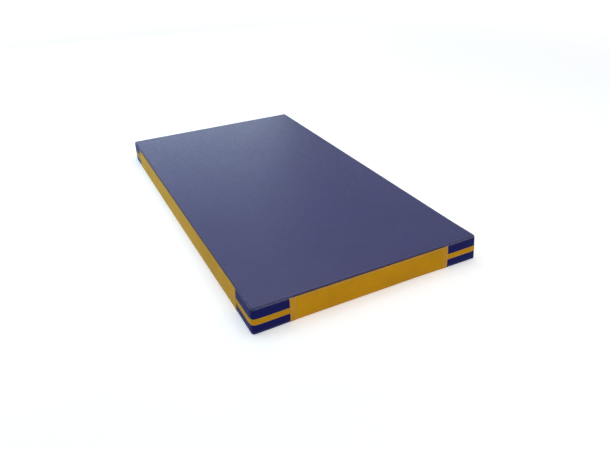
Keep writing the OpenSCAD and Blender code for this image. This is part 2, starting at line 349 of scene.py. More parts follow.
def panel(name, mid, half, low, high, finish, out=0.0, ends=True, foot="seam", head="seam",
          hems=(), stitch_s=(), stitch_z=(), holes=(), replaces=(), pitch=0.009, rise=HEM_RISE):
    """A wall panel: the wall's surface over arc length and height, edges folded or seamed, with hems."""
    size = bpy.context.scene.landing_mat_cover
    fold = (FOLD_R, 90.0, FOLD_DROP)
    plain = (0.0002, 20.0, 0.0)
    foots = {"seam": (FOOT_ROLL, 82.0, 0.0), "fold": fold, "plain": plain}
    heads = {"seam": (SEAM_ROLL, 68.0, 0.0), "fold": fold, "plain": plain}
    hem_stops = [e + k for e in hems for k in (-0.0012, 0.0, 0.0012)]
    hole_stops = [x + k for x, _, r in holes for k in (-r, r)]
    hole_rows = [z + k for _, z, r in holes for k in (-r, r)]
    end = fold if ends else plain
    s, dip_s = run(mid - half, mid + half, pitch, end, end, near_rows(stitch_s) + hem_stops + hole_stops)
    z, dip_z = run(low, high, 0.0065, foots[foot], heads[head], near_rows(stitch_z) + hole_rows)
    end_gap = np.minimum(s - (mid - half), mid + half - s)
    hem = rise * (1 - ease((end_gap - HEM_W + 0.001) / 0.002)) if hems else np.zeros_like(s)
    slack = 0.00025 * np.sin(2 * np.pi * s / 0.31 + 0.7)[:, None] * np.sin(np.pi * z / HEIGHT)[None, :]
    lengthways = (dip_s + hem - groove(s, stitch_s))[:, None]
    offset = out + lengthways + (dip_z - groove(z, stitch_z))[None, :] + slack
    points = wall(s[:, None], z[None, :], offset)
    quads = grid_quads(len(s), len(z))
    if holes:
        centre_s = (0.5 * (s[1:] + s[:-1]))[:, None] + 0 * z[None, 1:]
        centre_z = (0.5 * (z[1:] + z[:-1]))[None, :] + 0 * s[1:, None]
        keep = np.ones(centre_s.shape, bool)
        for hole_s, hole_z, r in holes:
            keep &= ~((np.abs(centre_s - hole_s) < r) & (np.abs(centre_z - hole_z) < r))
        quads = quads[keep.ravel()]
        used = np.unique(quads)
        quads = np.searchsorted(used, quads)
    uv = np.stack(np.broadcast_arrays(s[:, None], z[None, :]), -1).reshape(-1, 2)
    # Paler marks: the folded ends are partly scuffing and partly painted highlight where the fold catches
    # the light; the stitching rows, the foot and the folds are scuffing.
    rub_and_highlight = np.exp(-(np.minimum(end_gap, 0.05) / 0.0015) ** 2)[:, None] * (1 if ends else 0)
    # painted highlight: a pale band just under the upper seam stands in for the light that the wall's
    # shoulder catches; on the blue corner tiers it gives the pale line under the top's edge
    if head == "seam":
        deep = 0.0016 if ends else 0.001
        rub_and_highlight = np.maximum(rub_and_highlight, np.exp(-((high - deep - z) / (1.7 * deep)) ** 2)[None, :])
    for row in stitch_s:
        rub_and_highlight = np.maximum(rub_and_highlight, 0.6 * np.exp(-((s - row) / 0.0018) ** 2)[:, None])
    rub_and_highlight = np.maximum(rub_and_highlight, 0.4 * np.exp(-((z - 0.003) / 0.004) ** 2)[None, :])
    for kind, place in ((foot, low), (head, high)):
        if kind == "fold":
            rub_and_highlight = np.maximum(rub_and_highlight, np.exp(-((z - place) / 0.0016) ** 2)[None, :])
    rub_and_highlight = np.broadcast_to(rub_and_highlight, (len(s), len(z))).reshape(-1)
    points = points.reshape(-1, 3)
    if holes:
        points, uv, rub_and_highlight = points[used], uv[used], rub_and_highlight[used]
    piece = add_mesh(name, points, quads, finish, uv, rub_and_highlight, replaces)
    return thicken(piece, size.skin)


def plate(half_x, half_y, radius, xs, ys):
    """A rounded rectangle as a grid: a corner square's (a, b) goes to (a root(1-b2/2), b root(1-a2/2))."""
    grid_x, grid_y = np.meshgrid(xs, ys, indexing="ij")
    a = np.clip((np.abs(grid_x) - (half_x - radius)) / radius, 0, 1)
    b = np.clip((np.abs(grid_y) - (half_y - radius)) / radius, 0, 1)
    normal_x = np.sign(grid_x) * a * np.sqrt(1 - b * b / 2)
    normal_y = np.sign(grid_y) * b * np.sqrt(1 - a * a / 2)
    flat_x = np.where(a > 0, np.sign(grid_x) * (half_x - radius) + radius * normal_x, grid_x)
    flat_y = np.where(b > 0, np.sign(grid_y) * (half_y - radius) + radius * normal_y, grid_y)
    return flat_x, flat_y, normal_x, normal_y


def border(rows, columns):
    """Grid numbers round a grid's edge, anticlockwise from its first corner."""
    i = np.arange(rows)
    j = np.arange(columns)
    front = i * columns
    right = (rows - 1) * columns + j[1:]
    back = i[:-1][::-1] * columns + columns - 1
    left = j[1:-1][::-1]
    return np.concatenate([front, right, back, left])


def graded(half, radius, near, far, reach):
    """Places across a plate: eight in each corner's radius, close near the edge, wider in the middle."""
    corner = np.linspace(half, half - radius, 8)
    close = np.linspace(half - radius, half - radius - reach, max(2, int(round(reach / near)) + 1))[1:]
    inner = half - radius - reach
    wide = np.linspace(inner, -inner, int(round(2 * inner / far)) + 1)[1:-1]
    return np.sort(np.concatenate([corner, close, wide, -close, -corner]))


# ---------------------------------------------------------------- finishes
class Finish:
    """Adds nodes to one material and joins them to its shader."""

    def __init__(self, name, roughness, **sockets):
        self.material = bpy.data.materials.new(name)
        self.material.use_nodes = True
        self.tree = self.material.node_tree
        self.tree.nodes.clear()
        self.out = self.tree.nodes.new("ShaderNodeOutputMaterial")
        self.shader = self.tree.nodes.new("ShaderNodeBsdfPrincipled")
        self.tree.links.new(self.shader.outputs[0], self.out.inputs[0])
        self.shader.inputs["Roughness"].default_value = roughness
        for socket, value in sockets.items():
            self.shader.inputs[socket.replace("_", " ")].default_value = value
        self.place = self.tree.nodes.new("ShaderNodeTexCoord").outputs["Object"]

    def on_panel(self):
        """Patterns follow the piece's own flat layout."""
        node = self.tree.nodes.new("ShaderNodeUVMap")
        node.uv_map = "panel"
        return node.outputs[0]

    def mapped(self, vector, scale=(1, 1, 1), turn=0.0):
        """A place scaled along its axes and turned about z, in radians."""
        node = self.tree.nodes.new("ShaderNodeMapping")
        node.inputs["Scale"].default_value = scale
        node.inputs["Rotation"].default_value = (0, 0, turn)
        self.tree.links.new(vector, node.inputs["Vector"])
        return node.outputs[0]

    def noise(self, scale, detail=3.0, roughness=0.5, vector=None, distortion=0.0):
        """Soft clouds, from none to whole, at so many to the metre."""
        node = self.tree.nodes.new("ShaderNodeTexNoise")
        node.inputs["Scale"].default_value = scale
        node.inputs["Detail"].default_value = detail
        node.inputs["Roughness"].default_value = roughness
        node.inputs["Distortion"].default_value = distortion
        self.tree.links.new(vector or self.place, node.inputs["Vector"])
        return node.outputs[0]

    def cells(self, scale, feature="F1", vector=None, colour=False):
        """Cells: the distance from each cell's seed, or the cell's own colour."""
        node = self.tree.nodes.new("ShaderNodeTexVoronoi")
        node.feature = feature
        node.inputs["Scale"].default_value = scale
        self.tree.links.new(vector or self.place, node.inputs["Vector"])
        return node.outputs["Color" if colour else "Distance"]

    def sums(self, operation, a, b=None, c=None):
        """One step of arithmetic on values or numbers."""
        node = self.tree.nodes.new("ShaderNodeMath")
        node.operation = operation
        for socket, value in zip(node.inputs, (a, b, c)):
            if value is None:
                continue
            if isinstance(value, (int, float)):
                socket.default_value = value
            else:
                self.tree.links.new(value, socket)
        return node.outputs[0]

    def between(self, value, low, high, start=0.0, stop=1.0):
        """The value, as it goes from start to stop, taken from low to high and held there."""
        node = self.tree.nodes.new("ShaderNodeMapRange")
        self.tree.links.new(value, node.inputs["Value"])
        for socket, number in zip(node.inputs[1:5], (start, stop, low, high)):
            socket.default_value = number
        return node.outputs[0]

    def blend(self, share, a, b):
        """Colour a where the share is none, b where it is whole, and between them by the share."""
        node = self.tree.nodes.new("ShaderNodeMix")
        node.data_type = "RGBA"
        if isinstance(share, (int, float)):
            node.inputs[0].default_value = share
        else:
            self.tree.links.new(share, node.inputs[0])
        for socket, value in ((node.inputs[6], a), (node.inputs[7], b)):
            if isinstance(value, (tuple, list)):
                socket.default_value = tuple(value) + (1.0,)
            else:
                self.tree.links.new(value, socket)
        return node.outputs[2]

    def weave(self, vector, pitch_a, pitch_b, turn=0.0):
        """Height of crossing threads: the product of two sine waves across the cloth."""
        node = self.tree.nodes.new("ShaderNodeSeparateXYZ")
        self.tree.links.new(self.mapped(vector, turn=turn), node.inputs[0])
        a = self.sums("SINE", self.sums("MULTIPLY", node.outputs[0], 2 * math.pi / pitch_a))
        b = self.sums("SINE", self.sums("MULTIPLY", node.outputs[1], 2 * math.pi / pitch_b))
        return self.sums("MULTIPLY", a, b)

    def bump(self, height, distance, strength=1.0, below=None):
        """Relief from a height, in metres from lowest to highest, over the relief below it."""
        node = self.tree.nodes.new("ShaderNodeBump")
        node.inputs["Strength"].default_value = strength
        node.inputs["Distance"].default_value = distance
        self.tree.links.new(height, node.inputs["Height"])
        if below is not None:
            self.tree.links.new(below, node.inputs["Normal"])
        return node.outputs[0]

    def wear_and_highlight(self):
        """How scuffed the surface is at each point, or how much painted highlight it carries, none to whole.
        """
        node = self.tree.nodes.new("ShaderNodeAttribute")
        node.attribute_name = "wear_and_highlight"
        return node.outputs["Fac"]

    def finish(self, colour, normal, roughness=None):
        """Joins colour, relief and roughness to the shader, and hands back the material."""
        self.tree.links.new(colour, self.shader.inputs["Base Color"])
        self.tree.links.new(normal, self.shader.inputs["Normal"])
        if roughness is not None:
            self.tree.links.new(roughness, self.shader.inputs["Roughness"])
        return self.material


def shade(colour, factor):
    """The colour made lighter or darker."""
    return tuple(min(1.0, max(0.0, c * factor)) for c in colour)


def coated_vinyl(name, colour, roughness, mottle, specular=0.5, tint=None, highlight_and_wear_lift=0.15):
    """Vinyl on woven cloth: faint weave and grain, patches of tint, edges made paler where the mesh marks
    scuffing and painted highlight.
    """
    f = Finish(name, roughness, Specular_IOR_Level=specular)
    flat = f.on_panel()
    clouds = f.noise(6.5, 4.0, 0.55)
    patches = f.noise(31.0, 3.0, 0.6, distortion=0.6)
    fine = f.noise(420.0, 2.0, 0.5)
    light, dark = shade(colour, 1 + mottle), shade(colour, 1 - mottle)
    base = f.blend(f.between(clouds, 0.0, 1.0, 0.3, 0.7), dark, light)
    base = f.blend(f.between(patches, 0.0, mottle * 2.2, 0.45, 0.75), base, tint or shade(colour, 0.72))
    base = f.blend(f.between(fine, 0.0, 0.16, 0.35, 0.8), base, shade(colour, 0.8))
    # painted highlight mixed with scuffing: where the mesh marks it, the colour goes to a paler copy and the
    # vinyl gets rougher
    rubbed_and_highlit = f.sums("MULTIPLY", f.wear_and_highlight(), f.between(f.noise(190.0, 4.0, 0.65), 0.25, 1.0, 0.38, 0.6))
    pale = tuple(0.75 * c + highlight_and_wear_lift for c in colour)
    base = f.blend(f.sums("MULTIPLY", rubbed_and_highlit, 0.75), base, pale)
    weave = f.weave(flat, 0.0017, 0.0017)
    grain = f.cells(950.0, "SMOOTH_F1")
    creases = f.noise(14.0, 3.0, 0.45, distortion=0.9)
    normal = f.bump(weave, 0.00006, 0.7)
    normal = f.bump(grain, 0.00025, 0.35, below=normal)
    normal = f.bump(creases, 0.0011, 0.35, below=normal)
    rough = f.between(f.noise(55.0, 3.0, 0.6), roughness - 0.05, roughness + 0.07, 0.3, 0.7)
    rough = f.sums("ADD", rough, f.sums("MULTIPLY", rubbed_and_highlit, 0.12))
    return f.finish(base, normal, rough)


def grip_vinyl(name, colour):
    """Rubbery underside: matt, pebbled, scuffed by floors."""
    f = Finish(name, 0.75)
    scuffs = f.noise(22.0, 5.0, 0.7, vector=f.mapped(f.place, (1.0, 0.35, 1.0)))
    base = f.blend(f.between(scuffs, 0.0, 0.6, 0.5, 0.75), colour, tuple(0.6 * c + 0.1 for c in colour))
    base = f.blend(f.between(f.noise(300.0), 0.0, 0.25, 0.4, 0.7), base, shade(colour, 0.6))
    normal = f.bump(f.cells(620.0), 0.0003, 0.6)
    normal = f.bump(f.noise(1500.0, 2.0), 0.0001, 0.5, below=normal)
    return f.finish(base, normal, f.between(scuffs, 0.62, 0.85, 0.35, 0.7))


def woven_tape(name, colour):
    """Zip tape: a narrow herringbone, a little furry."""
    f = Finish(name, 0.82, Sheen_Weight=0.35, Sheen_Roughness=0.4)
    flat = f.on_panel()
    left = f.weave(flat, 0.0013, 0.0022, turn=0.7)
    right = f.weave(flat, 0.0013, 0.0022, turn=-0.7)
    ribs = f.sums("MAXIMUM", left, right)
    # painted shade and highlight: darker in the weave's hollows and lighter on its ribs, following the
    # relief's height
    base = f.blend(f.between(ribs, 0.0, 0.5, -0.6, 0.9), shade(colour, 0.6), shade(colour, 1.5))
    base = f.blend(f.between(f.noise(70.0, 4.0), 0.0, 0.3, 0.45, 0.75), base, shade(colour, 0.8))
    normal = f.bump(ribs, 0.0003, 0.9)
    normal = f.bump(f.noise(2600.0, 2.0), 0.00012, 0.5, below=normal)
    return f.finish(base, normal)


def nylon(name, colour, roughness=0.38):
    """Moulded or drawn nylon, faintly cloudy, with fine draw marks."""
    f = Finish(name, roughness, Specular_IOR_Level=0.5)
    marks = f.noise(900.0, 3.0, 0.6, vector=f.mapped(f.place, (1.0, 0.25, 1.0)))
    base = f.blend(f.between(marks, 0.0, 0.5, 0.35, 0.7), colour, shade(colour, 1.6))
    normal = f.bump(marks, 0.00008, 0.6)
    return f.finish(base, normal, f.between(f.noise(140.0), roughness - 0.06, roughness + 0.12, 0.3, 0.7))


def spun_thread(name, colour):
    """Sewing thread: two plies twisted, slightly lustrous."""
    f = Finish(name, 0.55, Sheen_Weight=0.2, Sheen_Roughness=0.35)
    flat = f.on_panel()
    twist = f.weave(flat, 0.0007, 0.0011, turn=0.6)
    # painted shade and highlight: darker in the grooves between the plies and lighter on their crests
    base = f.blend(f.between(twist, 0.0, 0.6, -0.7, 0.7), shade(colour, 0.65), shade(colour, 1.15))
    base = f.blend(f.between(f.noise(60.0), 0.0, 0.4, 0.4, 0.8), base, shade(colour, 0.85))
    return f.finish(base, f.bump(twist, 0.0001, 0.8))


def plated(name, colour):
    """Nickel plate: bright, finely brushed and dulled in patches."""
    f = Finish(name, 0.28, Metallic=1.0)
    brushed = f.noise(700.0, 3.0, 0.6, vector=f.mapped(f.place, (1.0, 0.12, 1.0)))
    dull = f.noise(260.0, 4.0, 0.6)
    base = f.blend(f.between(dull, 0.0, 0.7, 0.48, 0.8), colour, shade(colour, 0.55))
    base = f.blend(f.between(brushed, 0.0, 0.25, 0.4, 0.65), base, shade(colour, 0.8))
    rough = f.sums("ADD", f.between(dull, 0.2, 0.42, 0.35, 0.75), f.between(brushed, 0.0, 0.08, 0.4, 0.6))
    return f.finish(base, f.bump(brushed, 0.00003, 0.5), rough)


def cut_foam(name, colour, cell, chips=None):
    """Foam: open cells and saw marks; bonded foam shows its coloured crumbs."""
    f = Finish(name, 0.95)
    pores = f.cells(cell)
    base = f.blend(f.between(pores, 0.0, 0.6, 0.2, 0.7), colour, shade(colour, 0.6))
    if chips:
        crumbs = f.cells(110.0, vector=f.mapped(f.place, (1.0, 1.2, 1.6)), colour=True)
        node = f.tree.nodes.new("ShaderNodeSeparateColor")
        f.tree.links.new(crumbs, node.inputs[0])
        base = f.blend(f.between(node.outputs[0], 0.0, 0.8, 0.55, 0.6), base, chips[0])
        base = f.blend(f.between(node.outputs[1], 0.0, 0.8, 0.65, 0.7), base, chips[1])
    saw = f.noise(40.0, 3.0, 0.5, vector=f.mapped(f.place, (1.0, 0.1, 3.0)))
    base = f.blend(f.between(saw, 0.0, 0.3, 0.45, 0.7), base, shade(colour, 0.85))
    return f.finish(base, f.bump(saw, 0.0006, 0.4, below=f.bump(pores, 0.0006, 0.7)))


def finish_of(key):
    """The finish for a slot, made the first time that it is asked for."""
    name = "finish_" + key
    if name in bpy.data.materials:
        return bpy.data.materials[name]
    c = bpy.context.scene.landing_mat_colours
    makers = {
        "blue_vinyl": lambda: coated_vinyl(name, tuple(c.top), 0.36, 0.05, specular=0.5),
        # painted highlight: the larger pale lift paints the light line along the corner tiers' shoulders
        "corner_vinyl": lambda: coated_vinyl(name, tuple(c.corners), 0.42, 0.09, specular=0.03, highlight_and_wear_lift=0.36),
        "yellow_vinyl": lambda: coated_vinyl(name, tuple(c.walls), 0.4, 0.1, specular=0.015,
                                             tint=tuple(x * k for x, k in zip(c.walls, (0.86, 0.78, 1.3)))),
        "grip_vinyl": lambda: grip_vinyl(name, tuple(c.base)),
        "zip_tape": lambda: woven_tape(name, tuple(c.zip_tape)),
        "zip_coil": lambda: nylon(name, tuple(c.zip_coil)),
        "nickel": lambda: plated(name, tuple(c.metal)),
        "yellow_thread": lambda: spun_thread(name, tuple(c.wall_thread)),
        "zip_thread": lambda: spun_thread(name, tuple(c.zip_thread)),
        "seam_shadow": lambda: coated_vinyl(name, tuple(c.seam), 0.7, 0.1, specular=0.2),
        "foam_firm": lambda: cut_foam(name, tuple(c.foam_firm), 900.0),
        "foam_soft": lambda: cut_foam(name, tuple(c.foam_soft), 520.0),
        "foam_bonded": lambda: cut_foam(name, tuple(c.foam_bonded), 700.0,
                                        chips=((0.12, 0.2, 0.3), (0.5, 0.16, 0.12))),
    }
    return makers[key]()


# ---------------------------------------------------------------- settings a user may change
def length(name, description, default, high=0.05):
    """A setting in metres, from none to high."""
    return FloatProperty(name=name, description=description, default=default, min=0.0, max=high,
                         precision=4, unit="LENGTH")


def colour(name, description, default):
    """A colour setting, in linear red, green and blue."""
    return FloatVectorProperty(name=name, description=description, default=default, size=3, min=0.0,
                               max=1.0, subtype="COLOR")


class LandingMatCover(bpy.types.PropertyGroup):
    """Sizes of the sewn cover."""
    skin: length("Vinyl thickness", "Thickness of the coated vinyl", 0.001, 0.003)
    crown: length("Crown", "Rise of the top sheet in the middle of the mat", 0.0035, 0.02)
    bulge: length("Wall bulge", "How far the walls stand out at mid height", 0.0034, 0.015)
    bow: length("Bow", "How far the left wall bows out in plan", 0.0022, 0.01)
    gathers: length("Seam gathers", "Height of the gathers along the seams", 0.00032, 0.002)
    stitch: length("Stitch length", "Length of one stitch and the gap after it", 0.005, 0.02)
    thread: length("Thread", "Diameter of the sewing thread", 0.0006, 0.003)
    grip_pitch: length("Grip pitch", "Distance between the grip dots under the mat", 0.025, 0.1)


class LandingMatZip(bpy.types.PropertyGroup):
    """Sizes of the zip and the breathers."""
    coil_pitch: length("Coil pitch", "Distance from one turn of the zip coil to the next", 0.0023, 0.01)
    coil_wire: length("Coil wire", "Diameter of the coil's nylon wire", 0.0009, 0.003)
    edge_round: length("Metal edge", "Rounding of the slider's, stops' and eyelets' edges", 0.00025, 0.001)


class LandingMatColours(bpy.types.PropertyGroup):
    """Colours of the vinyls, threads, zip, metal and foams."""
    top: colour("Top sheet", "Vinyl of the top sheet", (0.038, 0.038, 0.158))
    corners: colour("Corner pieces", "Vinyl of the corner pieces", (0.009, 0.011, 0.1))
    walls: colour("Walls", "Vinyl of the walls and stripes", (0.57, 0.272, 0.008))
    base: colour("Base", "Non-slip vinyl underneath", (0.03, 0.033, 0.045))
    # painted shade: this near-black colour stands in for the shade inside the seam grooves
    seam: colour("Seam", "Inside of the seams", (0.03, 0.022, 0.035))
    wall_thread: colour("Wall thread", "Thread of the hems and stripes", (0.72, 0.42, 0.06))
    zip_thread: colour("Zip thread", "Thread of the zip tapes", (0.7, 0.4, 0.05))
    zip_tape: colour("Zip tape", "Woven tape of the zip", (0.02, 0.022, 0.04))
    zip_coil: colour("Zip coil", "Nylon coil of the zip", (0.025, 0.027, 0.045))
    metal: colour("Metal", "Nickel plate of the zip and eyelets", (0.66, 0.64, 0.6))
    foam_firm: colour("Landing layer", "Firm landing foam", (0.75, 0.76, 0.72))
    foam_soft: colour("Core", "Soft core foam", (0.82, 0.74, 0.5))
    foam_bonded: colour("Base layer", "Bonded base foam", (0.32, 0.36, 0.4))


class LandingMatStage(bpy.types.PropertyGroup):
    """Light and camera."""
    sky: FloatProperty(name="Surround", description="Strength of the pale surround", default=0.8,
                       min=0.0, max=5.0)
    overhead: FloatProperty(name="Overhead", description="Power of the overhead softbox, watts",
                            default=60.0, min=0.0, max=2000.0)
    back: FloatProperty(name="Back", description="Power of the softbox behind the mat, watts",
                        default=22.0, min=0.0, max=2000.0)
    window: FloatProperty(name="Side", description="Power of the cool side softbox, watts",
                          default=48.0, min=0.0, max=2000.0)
    fill: FloatProperty(name="Fill", description="Power of the warm front softbox, watts",
                        default=5.0, min=0.0, max=2000.0)
    lens: FloatProperty(name="Lens", description="Focal length, millimetres", default=32.29,
                        min=10.0, max=200.0)


# ---------------------------------------------------------------- operators
class LANDINGMAT_OT_settle(bpy.types.Operator):
    """Lets the foam fill the cover: a pressed cloth shell, its seams held, gives the rise and the bulge"""
    bl_idname = "landing_mat.settle_cover"
    bl_label = "Settle Cover"

    def execute(self, context):
        cells = (44, 80, 6)
        frames = 20
        squash = 1.2
        shape = tuple(n + 1 for n in cells)
        index = np.stack(np.meshgrid(*[np.arange(n) for n in shape], indexing="ij"), -1)
        skin = np.any((index == 0) | (index == np.array(cells)), axis=-1)
        number = -np.ones(shape, int)
        number[skin] = np.arange(skin.sum())
        size = np.array([2 * HALF_X, 2 * HALF_Y, HEIGHT])
        rest = (index[skin] / np.array(cells) - [0.5, 0.5, 0.0]) * size
        sides = [number[:, :, -1], number[:, ::-1, 0], number[:, 0, :], number[::-1, -1, :],
                 number[0, ::-1, :], number[-1, :, :]]
        quads = np.concatenate([
            side.ravel()[grid_quads(side.shape[0], side.shape[1])] for side in sides])
        mesh = bpy.data.meshes.new("settling")
        mesh.from_pydata(rest.tolist(), [], quads.tolist())
        shell = bpy.data.objects.new("settling", mesh)
        context.scene.collection.objects.link(shell)
        on_seam = (index[skin][:, 2] == cells[2]) & np.any(
            (index[skin][:, :2] == 0) | (index[skin][:, :2] == np.array(cells[:2])), axis=1)
        held = np.flatnonzero(on_seam | (index[skin][:, 2] == 0))
        group = shell.vertex_groups.new(name="held")
        group.add(held.tolist(), 1.0, "REPLACE")
        cloth = shell.modifiers.new("cloth", "CLOTH")
        cloth.settings.quality = 5
        cloth.settings.mass = 0.3
        cloth.settings.tension_stiffness = 40
        cloth.settings.compression_stiffness = 40
        cloth.settings.shear_stiffness = 20
        cloth.settings.bending_stiffness = 2.0
        cloth.settings.use_pressure = True
        cloth.settings.uniform_pressure_force = 4.0
        cloth.settings.vertex_group_mass = "held"
        cloth.settings.effector_weights.gravity = 0.0
        cloth.point_cache.frame_start = 1
        cloth.point_cache.frame_end = frames
        for step in range(1, frames + 1):
            context.scene.frame_set(step)
        settled = shell.evaluated_get(context.evaluated_depsgraph_get()).data
        after = np.zeros(len(rest) * 3)
        settled.vertices.foreach_get("co", after)
        moved = np.zeros(shape + (3,))
        moved[skin] = after.reshape(-1, 3) - rest
        bpy.data.objects.remove(shell)
        bpy.data.meshes.remove(mesh)
        context.scene.frame_set(1)
        found = {
            "top": moved[:, :, -1, 2],
            "front": -moved[:, 0, :, 1],
            "back": moved[:, -1, :, 1],
            "left": -moved[0, :, :, 0],
            "right": moved[-1, :, :, 0],
        }
        for key, field in found.items():
            share = field / max(field.max(), 1e-9)
            FIELDS[key] = np.tanh(squash * share) / np.tanh(squash)
        print("settled:", {key: round(float(field.max()) * 1000, 1) for key, field in found.items()})
        return {"FINISHED"}


class LANDINGMAT_OT_foam(bpy.types.Operator):
    """Three foam layers: firm landing sheet, soft core with a channel behind the zip, bonded base sheet"""
    bl_idname = "landing_mat.add_foam"
    bl_label = "Add Foam"

    def execute(self, context):
        # node, finish, radius of the upper edges, radius of the lower edges
        layers = (("foam_landing_layer", "foam_firm", 0.012, 0.003),
                  ("foam_core", "foam_soft", 0.003, 0.003),
                  ("foam_base_layer", "foam_bonded", 0.003, 0.009))
        for node, slot, upper, lower in layers:
            piece = self.block("soft_" + node, node, slot, upper, lower, node == "foam_core")
        return {"FINISHED"}

    def block(self, name, node, slot, upper, lower, channel):
        """A block with rounded edges: a rounded plate, rings that carry quarter-round profiles, a plate."""
        low, high = span(node)
        half_x, half_y = high[0], high[1]
        soft = max(upper, lower)
        corner = 0.005
        xs = graded(half_x - soft, corner, 0.02, 0.045, 0.06)
        ys = graded(half_y - soft, corner, 0.02, 0.045, 0.06)
        if channel:
            ends = CHANNEL_HALF + CHANNEL_END * np.array([-1, 1])
            ys = np.sort(np.concatenate([ys, ends, -ends]))
        x, y, normal_x, normal_y = plate(half_x - soft, half_y - soft, corner, xs, ys)
        edge = border(len(xs), len(ys))
        top = np.stack([x, y, np.full_like(x, high[2])], -1).reshape(-1, 3)
        base = np.stack([x, y, np.full_like(x, low[2])], -1).reshape(-1, 3)
        turn = np.radians(np.linspace(0, 90, 7))
        heights = np.linspace(high[2] - upper, low[2] + lower, 21 if channel else 5)[1:-1]
        if channel:
            lips = CHANNEL_RISE + CHANNEL_LIP * np.array([-1, 1])
            heights = np.unique(np.concatenate([heights, MIDDLE + lips, MIDDLE - lips]))[::-1]
        turn_up = turn[1:] if upper == soft else turn
        turn_low = (turn[1:] if lower == soft else turn)[::-1]
        out = np.concatenate([soft - upper + upper * np.sin(turn_up), np.full(len(heights), soft),
                              soft - lower + lower * np.sin(turn_low)])
        z = np.concatenate([high[2] - upper + upper * np.cos(turn_up), heights,
                            low[2] + lower - lower * np.cos(turn_low)])
        ring_x = x.ravel()[edge][None, :] + normal_x.ravel()[edge][None, :] * out[:, None]
        ring_y = y.ravel()[edge][None, :] + normal_y.ravel()[edge][None, :] * out[:, None]
        ring_z = np.broadcast_to(z[:, None], ring_x.shape)
        if channel:
            behind_zip = (np.abs(z - MIDDLE) < CHANNEL_RISE)[:, None] & (ring_x > half_x - 0.003)
            behind_zip &= np.abs(ring_y) < CHANNEL_HALF
            ring_x = np.where(behind_zip, ring_x - CHANNEL_DEPTH, ring_x)
        rings = np.stack([ring_x, ring_y, ring_z], -1)
        points = np.concatenate([top, rings.reshape(-1, 3), base])
        lid = grid_quads(len(xs), len(ys))
        foot = len(top) + len(rings) * len(edge)
        skirt = skirt_quads(edge, len(top), len(rings), foot + edge)
        floor = (foot + lid)[:, ::-1]
        return add_mesh(name, points, np.concatenate([lid, skirt, floor]), finish_of(slot),
                        replaces=(node,))


class LANDINGMAT_OT_top(bpy.types.Operator):
    """Top sheet: a rounded plate with a crown, its edge rolled over and into the seam"""
    bl_idname = "landing_mat.add_top_sheet"
    bl_label = "Add Top Sheet"

    def execute(self, context):
        size = context.scene.landing_mat_cover
        inset = TOP_INSET + TOP_ROLL
        half_x, half_y, radius = HALF_X - inset, HALF_Y - inset, CORNER_R - inset
        xs = graded(half_x, radius, 0.0045, 0.0105, 0.045)
        ys = graded(half_y, radius, 0.0045, 0.0105, 0.045)
        x, y, normal_x, normal_y = plate(half_x, half_y, radius, xs, ys)
        sheet = np.stack([x, y, HEIGHT + crown(x, y)], -1).reshape(-1, 3)
        edge = border(len(xs), len(ys))
        turn = np.radians(np.linspace(0, TOP_SWEEP, 12))[1:, None]
        edge_x, edge_y = x.ravel()[edge], y.ravel()[edge]
        clear = ease((np.maximum(half_x - np.abs(edge_x), half_y - np.abs(edge_y)) - 0.02) / 0.03)
        gathers = 0.8 * size.gathers * pucker(along(edge_x, edge_y)) * clear
        out = TOP_ROLL * np.sin(turn) + gathers * np.sin(turn / 2) ** 2
        drop = TOP_ROLL * (1 - np.cos(turn)) + 0 * edge_x
        lift = sheet[edge, 2] - HEIGHT
        rings = np.stack([edge_x + normal_x.ravel()[edge] * out, edge_y + normal_y.ravel()[edge] * out,
                          HEIGHT - drop + lift * np.cos(turn / 2) ** 2], -1)
        points = np.concatenate([sheet, rings.reshape(-1, 3)])
        skirt = skirt_quads(edge, len(sheet), len(rings))
        girth = TOP_ROLL * turn
        uv = np.concatenate([
            np.stack([x, y], -1).reshape(-1, 2),
            np.stack([edge_x + normal_x.ravel()[edge] * girth, edge_y + normal_y.ravel()[edge] * girth],
                     -1).reshape(-1, 2)])
        # paler rim and roll: partly scuffing, partly painted highlight along the top's turned edge
        rub_and_highlight = np.exp(-((np.minimum(half_x - np.abs(x), half_y - np.abs(y))) / 0.0035) ** 2)
        rub_roll = np.exp(-((turn - 0.2) / 0.4) ** 2) + 0 * edge_x
        wear_and_highlight = np.concatenate([0.3 * rub_and_highlight.ravel(), 0.12 * rub_roll.ravel()])
        piece = add_mesh("top_sheet", points, np.concatenate([grid_quads(len(xs), len(ys)), skirt]),
                         finish_of("blue_vinyl"), uv, wear_and_highlight, ("cover_top",))
        thicken(piece, size.skin)
        return {"FINISHED"}


